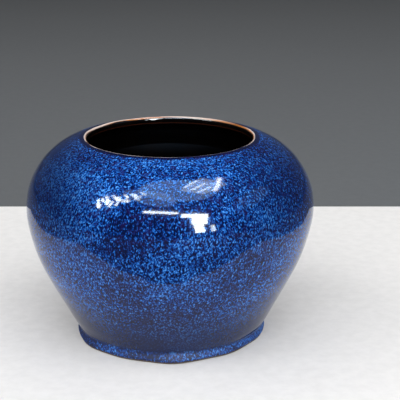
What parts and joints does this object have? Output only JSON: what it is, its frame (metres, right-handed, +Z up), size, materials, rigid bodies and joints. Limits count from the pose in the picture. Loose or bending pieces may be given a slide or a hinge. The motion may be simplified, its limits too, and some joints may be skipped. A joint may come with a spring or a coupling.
{
  "type": "flower vase",
  "caption": "Squat round-shouldered flower vase of glazed stoneware, with a wide open mouth, a tapering lower body and a low flared foot ring.",
  "frame": {"origin": "centre of the foot, on the surface the vase stands on", "axes": "+Z up along the vase's axis, out of its mouth; +X to the right and +Y away from the viewer in the front view"},
  "size_m": [0.2, 0.2, 0.14],
  "materials": {
    "stoneware": "matt, fired clay",
    "blue_glaze": "glossy, flecked",
    "lip_glaze": "glossy",
    "black_glaze": "very glossy"
  },
  "bodies": {
    "root": {"stoneware_body": "stoneware", "outer_glaze": "blue_glaze", "lip_glaze": "lip_glaze", "liner_glaze": "black_glaze"}
  },
  "joints": []
}
